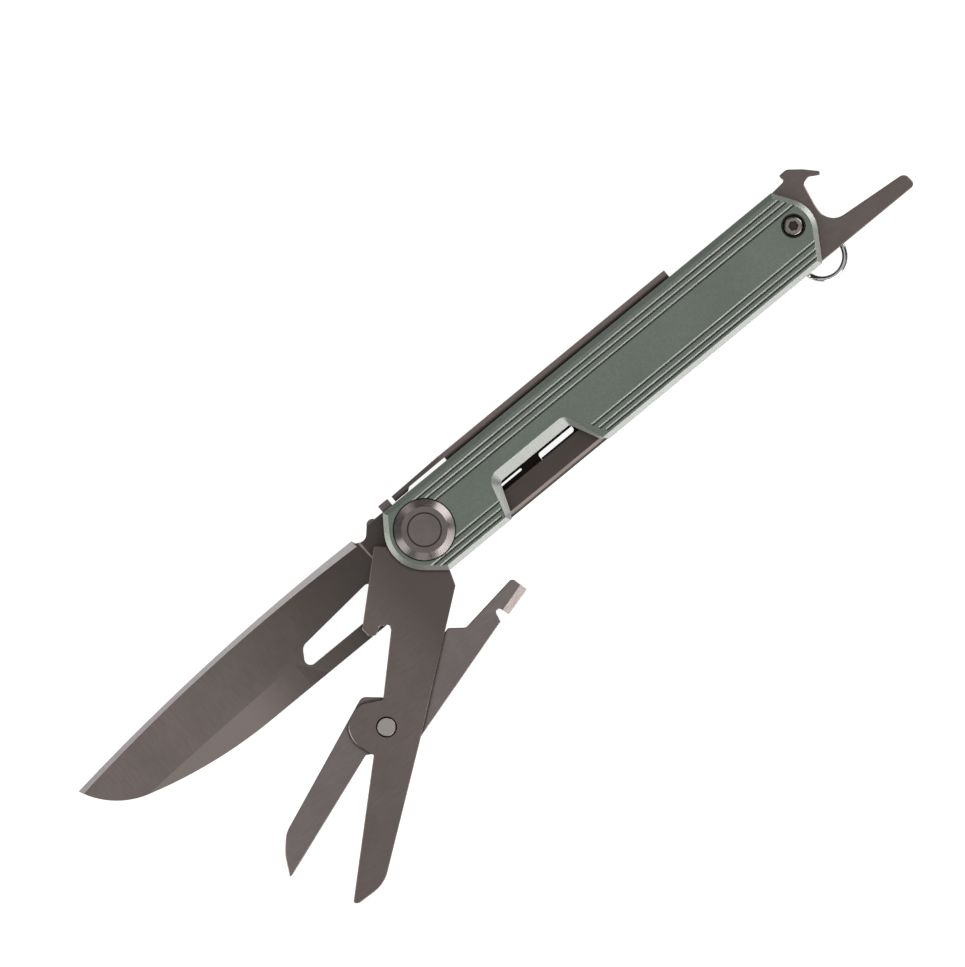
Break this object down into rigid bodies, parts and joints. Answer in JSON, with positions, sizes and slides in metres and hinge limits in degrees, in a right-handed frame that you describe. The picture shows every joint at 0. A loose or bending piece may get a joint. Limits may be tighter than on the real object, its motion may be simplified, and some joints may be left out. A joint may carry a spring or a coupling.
{
  "type": "folding multi tool",
  "caption": "Slim folding pocket multi tool with knife blade and sprung scissors on one pivot, frame lock, bottle opener, pry bar and key ring, shown open.",
  "frame": {"origin": "On the main pivot axis, at the flat outer face of the rear pivot cap, which the tool lies on.", "axes": "+X runs along the handle from the pivot to the butt; +Y points across the handle to its lock bar edge; +Z points from the rear plate to the green front scale."},
  "size_m": [0.1673, 0.0479, 0.0109],
  "materials": {
    "anodised_green": "fine matt bead blasted, sage green anodising",
    "dark_titanium": "dark warm grey titanium nitride coat, tumbled satin",
    "blade_steel": "dark warm grey titanium nitride coat, satin ground",
    "jaw_steel": "dark warm grey titanium nitride coat, satin",
    "polished_dark": "dark coat with a polished bevel",
    "screw_steel": "dark oiled steel, semi gloss",
    "bright_steel": "bare ground steel",
    "ring_chrome": "bright nickel plated spring wire",
    "bronze": "plain bronze"
  },
  "bodies": {
    "handle": {"front_scale": "anodised_green", "tool_plate": "dark_titanium", "rear_plate": "dark_titanium", "pivot_cap": "polished_dark", "pivot_sleeve": "polished_dark", "rear_washer": "bronze", "middle_washer": "bronze", "scissors_bushing": "bronze", "front_washer": "bronze", "blade_stop_pin": "bright_steel", "scissors_stop_pin": "bright_steel", "butt_screw": "screw_steel", "butt_sleeve": "screw_steel", "rear_spacer": "bright_steel", "front_spacer": "bright_steel", "lanyard_pin": "bright_steel"},
    "lock_bar": {"lock_bar": "dark_titanium", "detent_ball": "bright_steel"},
    "blade": {"blade": "blade_steel"},
    "scissors": {"main_jaw": "jaw_steel", "scissors_rivet": "bright_steel", "spring_pin": "bright_steel", "scissors_spring": "bright_steel"},
    "lever": {"lever_jaw": "jaw_steel"},
    "ring": {"split_ring": "ring_chrome"}
  },
  "joints": [
    {"name": "blade_fold", "type": "hinge", "parent": "handle", "child": "blade", "pos_m": [0, 0, 0.00295], "axis": [0, 0, -1], "range_deg": [0, 180]},
    {"name": "scissors_fold", "type": "hinge", "parent": "handle", "child": "scissors", "pos_m": [0, 0, 0.0074], "axis": [0, 0, 1], "range_deg": [-44, 136]},
    {"name": "lever_squeeze", "type": "hinge", "parent": "scissors", "child": "lever", "pos_m": [-0.02505, -0.02075, 0.00615], "axis": [0, 0, 1], "range_deg": [0, 25], "stiffness_Nm_per_rad": 0.08, "springref_deg": -5.73, "deforming": ["scissors_spring"]},
    {"name": "lock_release", "type": "hinge", "parent": "handle", "child": "lock_bar", "pos_m": [0.05673, 0.00285, 0.00125], "axis": [0, -1, 0], "range_deg": [0, 1], "stiffness_Nm_per_rad": 1},
    {"name": "ring_swing", "type": "hinge", "parent": "handle", "child": "ring", "pos_m": [0.0779, -0.0042, 0.00295], "axis": [0, 0, 1], "range_deg": [-33, 33]}
  ]
}
